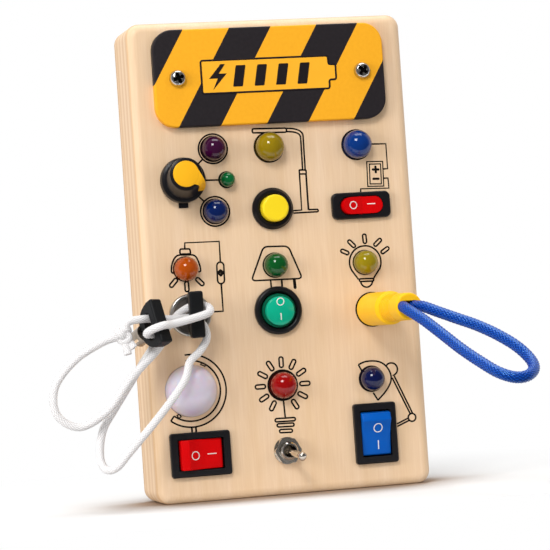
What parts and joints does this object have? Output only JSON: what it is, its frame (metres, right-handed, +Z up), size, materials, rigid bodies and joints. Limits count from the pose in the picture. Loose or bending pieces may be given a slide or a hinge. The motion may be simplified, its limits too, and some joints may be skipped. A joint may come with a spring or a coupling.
{
  "type": "wooden busy board",
  "caption": "Hand-sized standing wooden busy board with lamps, rocker, toggle and rotary switches, a push button, a corded key lock and a jack plug on a loop.",
  "frame": {"origin": "centre of the case's bottom face, which rests on the table", "axes": "+X to the right as seen from the front, -Y out of the front face, +Z up"},
  "size_m": [0.1447, 0.1163, 0.162],
  "materials": {
    "plywood": "birch plywood, sanded and clear lacquered, satin",
    "plywood_cover": "thin birch plywood sheet, sanded",
    "sign_yellow": "painted plywood, satin yellow with black stripes",
    "zinc_steel": "bright zinc plated screws",
    "nickel": "nickel plated, bright",
    "spring_steel": "spring wire",
    "brass_tab": "stamped tabs",
    "black_abs": "moulded black, semi gloss",
    "key_black": "moulded black, satin",
    "yellow_plastic": "moulded yellow, satin",
    "red_plastic": "moulded red, glossy",
    "green_plastic": "tinted clear green, glossy",
    "blue_plastic": "tinted clear blue, glossy",
    "led_purple": "tinted epoxy lens",
    "led_green": "tinted epoxy lens",
    "led_blue": "tinted epoxy lens",
    "led_olive": "tinted epoxy lens",
    "led_orange": "tinted epoxy lens",
    "led_red": "tinted epoxy lens",
    "frosted_white": "frosted translucent dome",
    "white_led": "clear lamp on a white carrier",
    "white_braid": "braided polyester cord",
    "blue_braid": "braided nylon cord",
    "wire_red": "insulated hook-up wire",
    "wire_black": "insulated hook-up wire",
    "cell_jacket": "printed film jacket, plain"
  },
  "bodies": {
    "root": {"case": "plywood", "back_cover": "plywood_cover", "cover_screws": "zinc_steel", "sign_plate": "sign_yellow", "sign_screws": "zinc_steel", "battery_box": "black_abs", "battery_cells": "cell_jacket", "battery_contacts": "spring_steel", "led_purple": "led_purple", "led_green_small": "led_green", "led_blue_lower": "led_blue", "led_olive": "led_olive", "led_blue_upper": "led_blue", "led_orange": "led_orange", "led_green": "led_green", "led_lime": "led_olive", "led_red": "led_red", "led_blue_desk": "led_blue", "led_leads": "spring_steel", "dome_lens": "frosted_white", "dome_led": "white_led", "rotary_switch": "black_abs", "rotary_nut": "black_abs", "button_housing": "black_abs", "button_nut": "black_abs", "button_spring": "spring_steel", "mini_rocker_housing": "black_abs", "round_rocker_housing": "black_abs", "red_rocker_housing": "black_abs", "blue_rocker_housing": "black_abs", "switch_terminals": "brass_tab", "toggle_body": "nickel", "toggle_nut": "nickel", "lock_barrel": "nickel", "lock_nut": "nickel", "jack_socket": "black_abs", "jack_nut": "nickel", "wiring_red": "wire_red", "wiring_black": "wire_black"},
    "knob": {"knob": "black_abs", "knob_cap": "yellow_plastic", "rotary_shaft": "nickel"},
    "button": {"button_cap": "yellow_plastic"},
    "mini_rocker": {"mini_rocker": "red_plastic"},
    "round_rocker": {"round_rocker": "green_plastic"},
    "red_rocker": {"red_rocker": "red_plastic"},
    "blue_rocker": {"blue_rocker": "blue_plastic"},
    "toggle_lever": {"toggle_lever": "nickel"},
    "rotor": {"lock_rotor": "nickel"},
    "lanyard": {"white_cord": "white_braid", "cord_knot": "white_braid", "spare_key_bow": "key_black", "spare_key_blade": "nickel"},
    "key": {"key_bow": "key_black", "key_blade": "nickel"},
    "plug": {"plug_body": "yellow_plastic", "plug_pin": "nickel", "blue_cord": "blue_braid"},
    "battery_door": {"battery_door": "black_abs", "door_screw": "zinc_steel"}
  },
  "joints": [
    {"name": "knob_turn", "type": "hinge", "parent": "root", "child": "knob", "pos_m": [-0.0326, -0.0125, 0.1083], "axis": [0, -1, 0], "range_deg": [-45, 90]},
    {"name": "button_press", "type": "slide", "parent": "root", "child": "button", "axis": [0, 1, 0], "range_m": [0, 0.0018], "stiffness_N_per_m": 300, "springref_m": -0.002, "deforming": ["button_spring"]},
    {"name": "mini_rocker_tilt", "type": "hinge", "parent": "root", "child": "mini_rocker", "pos_m": [0.0292, -0.0128, 0.0966], "axis": [0, 0, 1], "range_deg": [-18, 0]},
    {"name": "round_rocker_tilt", "type": "hinge", "parent": "root", "child": "round_rocker", "pos_m": [-0.0024, -0.0128, 0.0626], "axis": [1, 0, 0], "range_deg": [-18, 0]},
    {"name": "red_rocker_tilt", "type": "hinge", "parent": "root", "child": "red_rocker", "pos_m": [-0.0326, -0.0128, 0.0162], "axis": [0, 0, 1], "range_deg": [-18, 0]},
    {"name": "blue_rocker_tilt", "type": "hinge", "parent": "root", "child": "blue_rocker", "pos_m": [0.0288, -0.0128, 0.0185], "axis": [1, 0, 0], "range_deg": [-18, 0]},
    {"name": "toggle_throw", "type": "hinge", "parent": "root", "child": "toggle_lever", "pos_m": [-0.0026, -0.0141, 0.015], "axis": [0, 0, 1], "range_deg": [-25, 0]},
    {"name": "rotor_turn", "type": "hinge", "parent": "root", "child": "rotor", "pos_m": [-0.0329, -0.0125, 0.063], "axis": [0, -1, 0], "range_deg": [-90, 0]},
    {"name": "key_pull", "type": "slide", "parent": "root", "child": "lanyard", "axis": [0, -1, 0], "range_m": [0, 0.008]},
    {"name": "key_turn", "type": "hinge", "parent": "lanyard", "child": "key", "pos_m": [-0.0329, -0.0125, 0.063], "axis": [0, -1, 0], "range_deg": [-90, 0], "deforming": ["white_cord"]},
    {"name": "plug_pull", "type": "slide", "parent": "root", "child": "plug", "axis": [0, -1, 0], "range_m": [0, 0.018]},
    {"name": "battery_door_off", "type": "slide", "parent": "root", "child": "battery_door", "axis": [0, 1, 0], "range_m": [0, 0.015]}
  ],
  "couplings": [
    {"joint": "rotor_turn", "follows": "key_turn", "ratio": 1}
  ]
}
